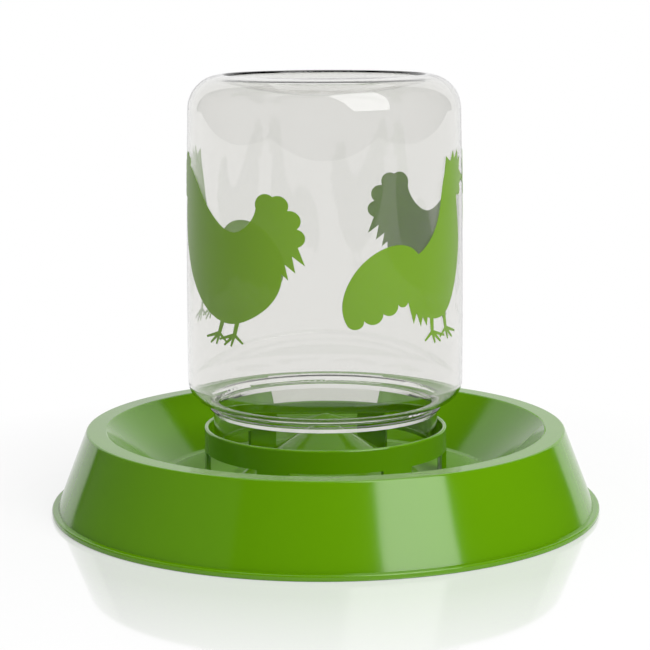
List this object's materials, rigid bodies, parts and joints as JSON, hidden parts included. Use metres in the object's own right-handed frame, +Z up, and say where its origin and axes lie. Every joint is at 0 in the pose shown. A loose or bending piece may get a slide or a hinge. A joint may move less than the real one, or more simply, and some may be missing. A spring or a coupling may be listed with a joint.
{
  "type": "poultry feeder",
  "caption": "Round gravity feeder: clear jar screwed mouth down into a ring in a wide sloping green pan with a feed trough.",
  "frame": {"origin": "centre of the pan's foot, on the surface that it stands on", "axes": "+Z up along the feeder's axis, front towards -Y, +X to the right of the front"},
  "size_m": [0.2426, 0.2426, 0.191],
  "materials": {
    "green_plastic": "glossy moulded",
    "clear_plastic": "clear glossy",
    "green_ink": "screen printed",
    "paper": "coated paper"
  },
  "bodies": {
    "base": {"pan": "green_plastic", "screw_ring": "green_plastic", "paper_label": "paper"},
    "jar": {"jar": "clear_plastic", "hen_print": "green_ink", "cockerel_print": "green_ink"}
  },
  "joints": [
    {"name": "jar_turn", "type": "hinge", "parent": "base", "child": "jar", "pos_m": [0, 0, 0.0365], "axis": [0, 0, 1], "range_deg": [0, 450]}
  ]
}
